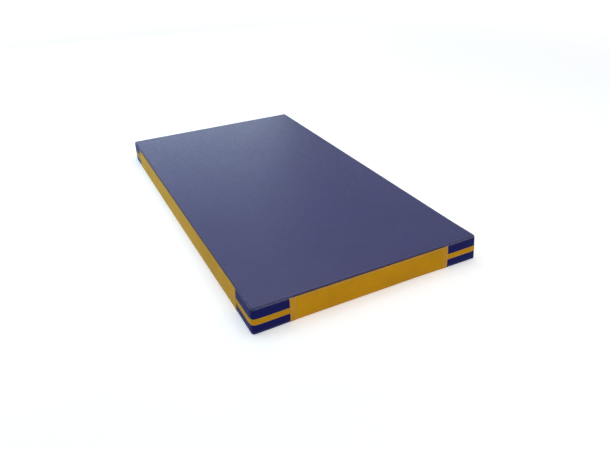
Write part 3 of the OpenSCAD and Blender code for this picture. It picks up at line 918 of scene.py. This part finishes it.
class LANDINGMAT_OT_base(bpy.types.Operator):
    """Base sheet: a rounded plate turned up at its edge, with a field of grip dots"""
    bl_idname = "landing_mat.add_base_sheet"
    bl_label = "Add Base Sheet"

    def execute(self, context):
        size = context.scene.landing_mat_cover
        inset = 0.004
        half_x, half_y, radius = HALF_X - inset, HALF_Y - inset, CORNER_R - inset
        xs = graded(half_x, radius, 0.01, 0.024, 0.04)
        ys = graded(half_y, radius, 0.01, 0.024, 0.04)
        x, y, normal_x, normal_y = plate(half_x, half_y, radius, xs, ys)
        face = 0.0004
        sheet = np.stack([x, y, np.full_like(x, face)], -1).reshape(-1, 3)
        edge = border(len(xs), len(ys))
        roll = 0.0016
        turn = np.radians(np.linspace(0, 90, 6))[1:, None]
        edge_x, edge_y = x.ravel()[edge], y.ravel()[edge]
        rings = np.stack([edge_x + normal_x.ravel()[edge] * roll * np.sin(turn),
                          edge_y + normal_y.ravel()[edge] * roll * np.sin(turn),
                          face + roll * (1 - np.cos(turn)) + 0 * edge_x], -1)
        points = np.concatenate([sheet, rings.reshape(-1, 3)])
        quads = np.concatenate([grid_quads(len(xs), len(ys)), skirt_quads(edge, len(sheet), len(rings))])
        quads = quads[:, ::-1]
        piece = add_mesh("base_sheet", points, quads, finish_of("grip_vinyl"),
                         points[:, :2], None, ("cover_base",))
        thicken(piece, size.skin)
        dots = self.dots(size.grip_pitch, face)
        return {"FINISHED"}

    def dots(self, pitch, face):
        """Grip dots: low eight-sided domes of four rings each, in staggered rows."""
        rows = int((2 * HALF_Y - 0.06) / pitch)
        columns = int((2 * HALF_X - 0.06) / pitch)
        i, j = np.meshgrid(np.arange(columns), np.arange(rows), indexing="ij")
        centre_x = (i - (columns - 1) / 2 + 0.25 * (-1.0) ** j) * pitch
        centre_y = (j - (rows - 1) / 2) * pitch
        turn = np.radians(np.arange(8) * 45)
        rings = [(0.0042, face + 0.0004), (0.0042, face), (0.0034, 0.00012), (0.0019, 0.0)]
        shape = np.concatenate([
            np.stack([r * np.cos(turn), -r * np.sin(turn), np.full(8, z)], -1) for r, z in rings])
        cap = np.array([[0, 1, 2, 3], [0, 3, 4, 7], [4, 5, 6, 7]])
        quads = np.concatenate([cap[:, ::-1], tube_quads(4, 8), cap + 3 * 8])
        centres = np.stack([centre_x, centre_y, 0 * centre_x], -1).reshape(-1, 1, 3)
        points = (centres + shape[None]).reshape(-1, 3)
        all_quads = (np.arange(len(centres))[:, None, None] * len(shape) + quads[None]).reshape(-1, 4)
        return add_mesh("base_grip_dots", points, all_quads, finish_of("grip_vinyl"),
                        points[:, :2])


def hem_rows(mid, half):
    """Arc lengths of the two rows of stitching at each end of a panel."""
    near = half - ROW_INSET
    far = half - ROW_INSET - ROW_GAP
    return [mid - near, mid - far, mid + far, mid + near]


def hem_edges(mid, half):
    """Arc lengths where a panel's two hems end."""
    return [mid - half + HEM_W, mid + half - HEM_W]


WALLS = {
    # name: (node, middle, half length, foot, head, foot kind, head kind)
    "wall_front": ("side_front", FRONT_MID, HALF_X - PATCH, WALL_FOOT, WALL_TOP, "seam", "seam"),
    "wall_back": ("side_back", BACK_MID, HALF_X - PATCH, WALL_FOOT, WALL_TOP, "seam", "seam"),
    "wall_left": ("side_left", LEFT_MID, HALF_Y - PATCH, WALL_FOOT, WALL_TOP, "seam", "seam"),
    "wall_right_upper": ("side_right_upper", RIGHT_MID, HALF_Y - PATCH, ZIP_OPEN_HIGH, WALL_TOP,
                         "fold", "seam"),
    "wall_right_lower": ("side_right_lower", RIGHT_MID, HALF_Y - PATCH, WALL_FOOT, ZIP_OPEN_LOW,
                         "seam", "fold"),
}
ZIP_ROW = 0.004            # from a zip opening's folded edge to its row of stitching


class LANDINGMAT_OT_walls(bpy.types.Operator):
    """Yellow walls: the wall surface with hemmed ends; the right wall is two strips beside the zip"""
    bl_idname = "landing_mat.add_walls"
    bl_label = "Add Walls"

    def execute(self, context):
        for name, (node, mid, half, low, high, foot, head) in WALLS.items():
            rows_z = []
            if foot == "fold":
                rows_z = [low + ZIP_ROW]
            if head == "fold":
                rows_z = [high - ZIP_ROW]
            holes = [(BACK_MID - x, MIDDLE, EYELET_HOLE) for x in EYELETS_X] if node == "side_back" else []
            right = node.startswith("side_right")
            piece = panel(name, mid, half, low, high, finish_of("yellow_vinyl"),
                          foot=foot, head=head, hems=hem_edges(mid, half), stitch_s=hem_rows(mid, half),
                          stitch_z=rows_z, holes=holes, replaces=(node,),
                          rise=ZIP_HEM_RISE if right else HEM_RISE)
        return {"FINISHED"}


class LANDINGMAT_OT_corners(bpy.types.Operator):
    """Corner pieces: two blue tiers round each corner and a yellow stripe folded and sewn over their join"""
    bl_idname = "landing_mat.add_corners"
    bl_label = "Add Corners"

    def execute(self, context):
        half = BAND_HALF_X + QUARTER / 2
        blue = finish_of("corner_vinyl")
        yellow = finish_of("yellow_vinyl")
        for corner, mid in CORNER_MIDS.items():
            upper = panel("tier_upper_" + corner, mid, half, STRIPE_HIGH - STRIPE_LAP, WALL_TOP + TIER_RISE,
                          blue, out=-BAND_INSET, ends=False, foot="plain", pitch=0.004,
                          replaces=("corner_upper_" + corner,))
            lower = panel("tier_lower_" + corner, mid, half, WALL_FOOT, STRIPE_LOW + STRIPE_LAP, blue,
                          out=-BAND_INSET, ends=False, head="plain", pitch=0.004,
                          replaces=("corner_lower_" + corner,))
            stripe = panel("stripe_" + corner, mid, half, STRIPE_LOW, STRIPE_HIGH, yellow,
                           out=-BAND_INSET + STRIPE_PROUD, ends=False, foot="fold",
                           head="fold", stitch_z=(STRIPE_LOW + STRIPE_ROW, STRIPE_HIGH - STRIPE_ROW),
                           pitch=0.004, replaces=("corner_stripe_" + corner,))
        return {"FINISHED"}


class LANDINGMAT_OT_seams(bpy.types.Operator):
    """Seam allowances: a slim rounded band carried round the outline behind the upper and the lower seam,
    near black as painted shade down in the seam grooves
    """
    bl_idname = "landing_mat.add_seams"
    bl_label = "Add Seams"

    def execute(self, context):
        # name, height of its middle, how far it lies out from the walls' face, half its height
        for name, height, out, tall in (("seam_shade_upper", HEIGHT - 0.0088, -0.0037, 0.0036),
                                        ("seam_shade_lower", 0.0044, -0.0042, 0.0034)):
            s = np.linspace(0, GIRTH, 641)[:-1]
            corner_s = np.concatenate([np.linspace(m - QUARTER / 2, m + QUARTER / 2, 9)
                                       for m in CORNER_MIDS.values()])
            s = np.unique(np.round(np.concatenate([s, corner_s]), 5))
            turn = np.radians(np.arange(0, 361, 36))
            profile_out = out + 0.0011 * np.cos(turn)
            profile_z = height + tall * np.sin(turn)
            x, y, _ = around(s[:, None], profile_out[None, :])
            points = np.stack([x, y, np.broadcast_to(profile_z[None, :], x.shape)], -1)
            quads = grid_quads(len(s), len(turn), closed=True)
            columns = len(turn)
            quads = np.where(quads % columns == columns - 1, quads - (columns - 1), quads)
            used = np.unique(quads)
            quads = np.searchsorted(used, quads)
            uv = np.stack(np.broadcast_arrays(s[:, None], profile_z[None, :]), -1).reshape(-1, 2)
            piece = add_mesh(name, points.reshape(-1, 3)[used], quads, finish_of("seam_shadow"),
                             uv[used])
        return {"FINISHED"}


def stitch_row(s, z, out, lengthways):
    """Centres and directions of a row of stitches that lies along s, or up z where lengthways is false."""
    s, z, out = np.broadcast_arrays(s, z, out)
    step = 0.0004
    centre = wall(s, z, out)
    beside = wall(s + step, z, out) - wall(s - step, z, out)
    above = wall(s, z + step, out) - wall(s, z - step, out)
    beside /= np.linalg.norm(beside, axis=-1, keepdims=True)
    above /= np.linalg.norm(above, axis=-1, keepdims=True)
    outward = np.cross(beside, above)
    outward /= np.linalg.norm(outward, axis=-1, keepdims=True)
    way = beside if lengthways else above
    return centre, way, np.cross(outward, way), outward


def stitches(name, rows, pitch, thread, finish):
    """Stitches: on each centre a six-sided thread of six rings that swells and dips at both ends."""
    centre, way, across, outward = (np.concatenate(part) for part in zip(*rows))
    step = np.linspace(-1, 1, 6)
    swell = np.sqrt(np.clip(1 - 0.75 * step ** 6, 0, 1))
    angle = np.radians(np.arange(6) * 60)
    long = step[:, None] * pitch * 0.41 + 0 * angle
    side = 0.5 * thread * swell[:, None] * np.cos(angle)
    lift = 0.5 * thread * swell[:, None] * np.sin(angle) - 0.55 * thread * step[:, None] ** 4 + 0.12 * thread
    points = (centre[:, None, None] + way[:, None, None] * long[None, :, :, None]
              + across[:, None, None] * side[None, :, :, None]
              + outward[:, None, None] * lift[None, :, :, None])
    caps = np.array([[0, 3, 2, 1], [0, 5, 4, 3], [30, 31, 32, 33], [30, 33, 34, 35]])
    shape = np.concatenate([tube_quads(6, 6), caps])
    quads = (np.arange(len(centre))[:, None, None] * 36 + shape[None]).reshape(-1, 4)
    uv = np.stack(np.broadcast_arrays(long[None] + np.arange(len(centre))[:, None, None] * pitch,
                                      (0.25 * thread * angle)[None, None, :]), -1)
    return add_mesh(name, points, quads, finish, uv.reshape(-1, 2))


class LANDINGMAT_OT_stitching(bpy.types.Operator):
    """Stitching: two rows up each hem, one along each edge of every stripe, one along each zip tape"""
    bl_idname = "landing_mat.add_stitching"
    bl_label = "Add Stitching"

    def execute(self, context):
        size = context.scene.landing_mat_cover
        pitch, thread = size.stitch, size.thread
        hems, stripes, zips = [], [], []
        for node, mid, half, low, high, foot, head in WALLS.values():
            rise = ZIP_HEM_RISE if node.startswith("side_right") else HEM_RISE
            start = low + (0.006 if foot == "seam" else 0.003)
            stop = high - (0.006 if head == "seam" else 0.003)
            z = np.arange(start, stop, pitch)
            for s in hem_rows(mid, half):
                hems.append(stitch_row(s, z, rise - GROOVE, False))
            if "fold" in (foot, head):
                row = low + ZIP_ROW if foot == "fold" else high - ZIP_ROW
                s = np.arange(mid - half + 0.006, mid + half - 0.004, pitch)
                zips.append(stitch_row(s, row, -GROOVE, True))
        half = BAND_HALF_X + QUARTER / 2 - 0.02
        for mid in CORNER_MIDS.values():
            s = np.arange(mid - half + 0.002, mid + half, pitch)
            for row in (STRIPE_LOW + STRIPE_ROW, STRIPE_HIGH - STRIPE_ROW):
                stripes.append(stitch_row(s, row, STRIPE_PROUD - BAND_INSET - GROOVE, True))
        stitches("stitching_hems", hems, pitch, thread, finish_of("yellow_thread"))
        stitches("stitching_stripes", stripes, pitch, thread, finish_of("yellow_thread"))
        stitches("stitching_zip", zips, pitch, thread, finish_of("zip_thread"))
        return {"FINISHED"}


def soften(node, finish, width):
    """A CAD node keeps its shape: its corners are joined, its edges rounded, and its finish set."""
    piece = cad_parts[node]
    piece.data.materials.clear()
    piece.data.materials.append(finish)
    weld = piece.modifiers.new("join", "WELD")
    weld.merge_threshold = 0.00001
    rounding = piece.modifiers.new("rounded edges", "BEVEL")
    rounding.width = width
    rounding.segments = 2
    rounding.limit_method = "ANGLE"
    rounding.angle_limit = math.radians(40)
    return piece


class LANDINGMAT_OT_zip(bpy.types.Operator):
    """Zip: woven tapes, two nylon coils, sewn end patches, and the plated slider, tab and stops"""
    bl_idname = "landing_mat.add_zip"
    bl_label = "Add Zip"

    def execute(self, context):
        zips = context.scene.landing_mat_zip
        size = context.scene.landing_mat_cover
        for side in ("upper", "lower"):
            self.tape(side)
            self.coil(side, zips.coil_pitch, zips.coil_wire)
        for end in ("front", "back"):
            self.patch(end, size)
        for node in ("zip_slider", "zip_pull_tab", "zip_top_stops", "zip_bottom_stop"):
            soften(node, finish_of("nickel"), zips.edge_round)
        return {"FINISHED"}

    def tape(self, side):
        """A tape: a flat strip with a thicker corded edge next to the coil, over its length and width."""
        low, high = span("zip_tape_" + side)
        y = np.linspace(low[1], high[1], 161)
        z = np.linspace(low[2], high[2], 19)
        inner = low[2] if side == "upper" else high[2]
        cord = 0.00025 * np.exp(-((z - inner) / 0.0012) ** 2)
        face_x = high[0] - 0.00005 + cord[None, :] + 0.00012 * np.sin(y[:, None] / 0.019)
        front = np.stack(np.broadcast_arrays(face_x, y[:, None], z[None, :]), -1)
        uv = np.stack(np.broadcast_arrays(y[:, None], z[None, :]), -1).reshape(-1, 2)
        piece = add_mesh("tape_" + side, front.reshape(-1, 3), grid_quads(len(y), len(z)),
                         finish_of("zip_tape"), uv, None, ("zip_tape_" + side,))
        thicken(piece, WEB)

    def coil(self, side, pitch, wire):
        """A coil: a six-sided wire carried along a flattened helix inside the chain's space."""
        low, high = span("zip_chain_" + side)
        r = wire / 2
        turns = int((high[1] - low[1] - wire) / pitch)
        steps = 12
        t = np.arange(turns * steps + 1) / steps * 2 * np.pi
        shift = 0.0 if side == "upper" else np.pi
        half_z = (high[2] - low[2]) / 2 - r
        half_x = (high[0] - low[0]) / 2 - r
        path = np.stack([
            (low[0] + high[0]) / 2 + half_x * np.sin(t + shift),
            low[1] + r + 0.0004 + pitch * t / (2 * np.pi),
            (low[2] + high[2]) / 2 + half_z * np.sign(np.cos(t + shift)) * np.abs(np.cos(t + shift)) ** 0.8,
        ], -1)
        way = np.gradient(path, axis=0)
        way /= np.linalg.norm(way, axis=1, keepdims=True)
        side_way = np.cross(way, [0.0, 1.0, 0.0])
        side_way /= np.linalg.norm(side_way, axis=1, keepdims=True)
        third = np.cross(way, side_way)
        angle = np.radians(np.arange(6) * 60)
        ring = side_way[:, None] * np.cos(angle)[None, :, None]
        ring = ring + third[:, None] * np.sin(angle)[None, :, None]
        points = path[:, None] + r * ring
        last = 6 * (len(t) - 1)
        caps = np.array([[0, 3, 2, 1], [0, 5, 4, 3], [last, last + 1, last + 2, last + 3],
                         [last, last + 3, last + 4, last + 5]])
        add_mesh("coil_" + side, points, np.concatenate([tube_quads(len(t), 6), caps]),
                 finish_of("zip_coil"), replaces=("zip_chain_" + side,))

    def patch(self, end, size):
        """An end patch: a rounded plate over length and height, its edge turned down, sewn round."""
        low, high = span("zip_end_patch_" + end)
        centre = (low + high) / 2
        half_a, half_b, edge = (high[1] - low[1]) / 2, (high[2] - low[2]) / 2, 0.001
        a = graded(half_a - edge, PATCH_R - edge, 0.002, 0.0035, 0.006)
        b = graded(half_b - edge, PATCH_R - edge, 0.002, 0.0035, 0.006)
        flat_a, flat_b, normal_a, normal_b = plate(half_a - edge, half_b - edge, PATCH_R - edge, a, b)
        gap = np.minimum(half_a - np.abs(flat_a), half_b - np.abs(flat_b))
        dip = GROOVE * 0.5 * (1 + np.cos(np.pi * np.clip((gap - PATCH_R) / GROOVE_W, -1, 1)))
        face = high[0] + PATCH_PROUD - dip
        loop = border(len(a), len(b))
        turn = np.radians(np.linspace(0, 90, 5))[1:, None]
        top = np.stack([face, flat_a, flat_b], -1).reshape(-1, 3)
        ring_a = flat_a.ravel()[loop] + normal_a.ravel()[loop] * edge * np.sin(turn)
        ring_b = flat_b.ravel()[loop] + normal_b.ravel()[loop] * edge * np.sin(turn)
        ring_x = high[0] + PATCH_PROUD - edge * (1 - np.cos(turn)) + 0 * ring_a
        foot = np.stack([np.full(len(loop), low[0] - 0.0001), ring_a[-1], ring_b[-1]], -1)[None]
        rings = np.concatenate([np.stack([ring_x, ring_a, ring_b], -1), foot])
        points = np.concatenate([top, rings.reshape(-1, 3)]) + [0.0, centre[1], centre[2]]
        quads = np.concatenate([grid_quads(len(a), len(b)), skirt_quads(loop, len(top), len(rings))])
        piece = add_mesh("end_patch_" + end, points, quads, finish_of("yellow_vinyl"),
                         points[:, 1:], None, ("zip_end_patch_" + end,))
        thicken(piece, WEB)
        inner_a, inner_b = half_a - PATCH_R, half_b - PATCH_R
        ring = np.linspace(0, 1, 41)[:-1]
        perimeter = np.array([0, 2 * inner_a, 2 * inner_a + 2 * inner_b, 4 * inner_a + 2 * inner_b,
                              4 * inner_a + 4 * inner_b])
        at = ring * perimeter[-1] + 0.002
        place_a = np.interp(at, perimeter, [-inner_a, inner_a, inner_a, -inner_a, -inner_a])
        place_b = np.interp(at, perimeter, [-inner_b, -inner_b, inner_b, inner_b, -inner_b])
        flatwise = (at % (2 * inner_a + 2 * inner_b)) < 2 * inner_a
        way = np.where(flatwise[:, None], [0.0, 1.0, 0.0], [0.0, 0.0, 1.0])
        centres = np.stack([np.full(len(at), high[0] + PATCH_PROUD - GROOVE), centre[1] + place_a,
                            centre[2] + place_b], -1)
        outward = np.broadcast_to([1.0, 0.0, 0.0], way.shape)
        sewing = stitches("stitching_patch_" + end, [(centres, way, np.cross(outward, way), outward)],
                          size.stitch * 0.9, size.thread, finish_of("yellow_thread"))


class LANDINGMAT_OT_breathers(bpy.types.Operator):
    """Breathers: the plated eyelets in the back wall and the washers behind them"""
    bl_idname = "landing_mat.add_breathers"
    bl_label = "Add Breathers"

    def execute(self, context):
        for node in ("vent_eyelets", "vent_washers"):
            soften(node, finish_of("nickel"), 0.0002)
        return {"FINISHED"}


class LANDINGMAT_OT_stage(bpy.types.Operator):
    """Pale floor, soft studio light and the camera"""
    bl_idname = "landing_mat.add_stage"
    bl_label = "Add Stage"

    def execute(self, context):
        stage = context.scene.landing_mat_stage
        self.floor()
        world = bpy.data.worlds.new("surround")
        world.use_nodes = True
        self.surround(world.node_tree, stage.sky)
        context.scene.world = world
        context.scene.view_settings.view_transform = "Standard"
        self.softbox("overhead", (0.3, 0.2, 3.2), (0.0, 0.0, 0.0), (3.6, 3.6), stage.overhead,
                     (1.0, 0.99, 0.97))
        self.softbox("back", (0.6, 4.8, 1.35), (0.0, 0.9, 0.1), (3.2, 1.1), stage.back, (0.68, 0.84, 1.0))
        window = self.softbox("window", (-3.0, 1.3, 1.2), (-0.3, 0.3, 0.05), (2.6, 1.6), stage.window,
                              (0.2, 0.62, 1.0))
        window.visible_glossy = False  # it cools the left wall and makes no mirror image in the top
        self.softbox("fill", (1.7, -3.4, 1.5), (0.2, -0.6, 0.05), (2.4, 1.6), stage.fill, (1.0, 0.86, 0.68))
        camera = bpy.data.cameras.new("camera")
        camera.lens = stage.lens
        camera.sensor_width = 36.0
        viewer = bpy.data.objects.new("camera", camera)
        viewer.location = (-1.0920, -2.5458, 1.4142)
        viewer.rotation_euler = tuple(math.radians(a) for a in (60.1119, 1.2296, -27.4264))
        context.scene.collection.objects.link(viewer)
        context.scene.camera = viewer
        return {"FINISHED"}

    def surround(self, tree, strength):
        """The surround: by the direction's height, cooler and brighter at eye level; dimmer to the left."""
        sky = tree.nodes["Background"]
        side = tree.nodes.new("ShaderNodeMapRange")
        side.interpolation_type = "SMOOTHSTEP"
        for socket, number in zip(side.inputs[1:5], (-0.95, -0.15, 0.3 * strength, strength)):
            socket.default_value = number
        place = tree.nodes.new("ShaderNodeTexCoord")
        split = tree.nodes.new("ShaderNodeSeparateXYZ")
        height = tree.nodes.new("ShaderNodeMapRange")
        tone = tree.nodes.new("ShaderNodeMix")
        tone.data_type = "RGBA"
        height.interpolation_type = "SMOOTHSTEP"
        height.inputs[1].default_value = 0.12
        height.inputs[2].default_value = 0.62
        tone.inputs[6].default_value = (0.80, 0.91, 1.0, 1.0)
        tone.inputs[7].default_value = (0.34, 0.35, 0.36, 1.0)
        tree.links.new(place.outputs["Generated"], split.inputs[0])
        tree.links.new(split.outputs[2], height.inputs[0])
        tree.links.new(split.outputs[0], side.inputs[0])
        tree.links.new(side.outputs[0], sky.inputs[1])
        tree.links.new(height.outputs[0], tone.inputs[0])
        tree.links.new(tone.outputs[2], sky.inputs[0])

    def softbox(self, name, place, target, size, power, tint):
        """A rectangular soft light that faces a point."""
        lamp = bpy.data.lights.new(name, "AREA")
        lamp.shape = "RECTANGLE"
        lamp.size, lamp.size_y = size
        lamp.energy = power
        lamp.color = tint
        holder = bpy.data.objects.new(name, lamp)
        holder.location = place
        way = np.array(target) - np.array(place)
        flat = math.hypot(way[0], way[1])
        holder.rotation_euler = (math.atan2(flat, -way[2]), 0.0, math.atan2(-way[0], way[1]))
        bpy.context.scene.collection.objects.link(holder)
        return holder

    def floor(self):
        """A wide pale floor, a grid over width and depth, with a faint cloudiness."""
        places = np.linspace(-40.0, 40.0, 13)
        x, y = np.meshgrid(places, places, indexing="ij")
        mesh = bpy.data.meshes.new("floor")
        points = np.stack([x, y, 0 * x], -1).reshape(-1, 3)
        mesh.from_pydata(points.tolist(), [], grid_quads(13, 13).tolist())
        f = Finish("pale_floor", 0.85)
        tone = f.blend(f.noise(3.0, 2.0), (0.9, 0.9, 0.9), (0.94, 0.94, 0.94))
        reach = f.tree.nodes.new("ShaderNodeVectorMath")
        reach.operation = "LENGTH"
        f.tree.links.new(f.place, reach.inputs[0])
        glow = f.between(reach.outputs["Value"], 0.42, 0.76, 1.5, 7.0)
        f.shader.inputs["Emission Color"].default_value = (1.0, 1.0, 1.0, 1.0)
        f.tree.links.new(glow, f.shader.inputs["Emission Strength"])
        mesh.materials.append(f.finish(tone, f.bump(f.noise(240.0, 2.0), 0.0002, 0.2)))
        floor = bpy.data.objects.new("floor", mesh)
        bpy.context.scene.collection.objects.link(floor)


class LANDINGMAT_PT_sidebar(bpy.types.Panel):
    """Sizes, colours and one button for each group of pieces"""
    bl_idname = "LANDINGMAT_PT_sidebar"
    bl_label = "Landing Mat"
    bl_space_type = "VIEW_3D"
    bl_region_type = "UI"
    bl_category = "Landing Mat"

    def draw(self, context):
        for group in GROUPS:
            box = self.layout.box()
            values = getattr(context.scene, group)
            for key in values.bl_rna.properties.keys():
                if key not in ("rna_type", "name"):
                    box.prop(values, key)
        for operator in OPERATORS:
            self.layout.operator(operator.bl_idname)


GROUPS = {
    "landing_mat_cover": LandingMatCover,
    "landing_mat_zip": LandingMatZip,
    "landing_mat_colours": LandingMatColours,
    "landing_mat_stage": LandingMatStage,
}
OPERATORS = (
    LANDINGMAT_OT_settle,
    LANDINGMAT_OT_foam,
    LANDINGMAT_OT_top,
    LANDINGMAT_OT_base,
    LANDINGMAT_OT_walls,
    LANDINGMAT_OT_corners,
    LANDINGMAT_OT_seams,
    LANDINGMAT_OT_stitching,
    LANDINGMAT_OT_zip,
    LANDINGMAT_OT_breathers,
    LANDINGMAT_OT_stage,
)


def register():
    """Registers every class and hangs the settings on the scene."""
    for made in (*GROUPS.values(), *OPERATORS, LANDINGMAT_PT_sidebar):
        bpy.utils.register_class(made)
    for name, group in GROUPS.items():
        setattr(bpy.types.Scene, name, PointerProperty(type=group))


def unregister():
    """Takes the settings and every class away again."""
    for name in GROUPS:
        delattr(bpy.types.Scene, name)
    for made in (LANDINGMAT_PT_sidebar, *OPERATORS[::-1], *list(GROUPS.values())[::-1]):
        bpy.utils.unregister_class(made)


def main():
    """Registers the classes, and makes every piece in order."""
    register()
    for operator in OPERATORS:
        family, name = operator.bl_idname.split(".")
        getattr(getattr(bpy.ops, family), name)()


if __name__ == "__main__":
    main()
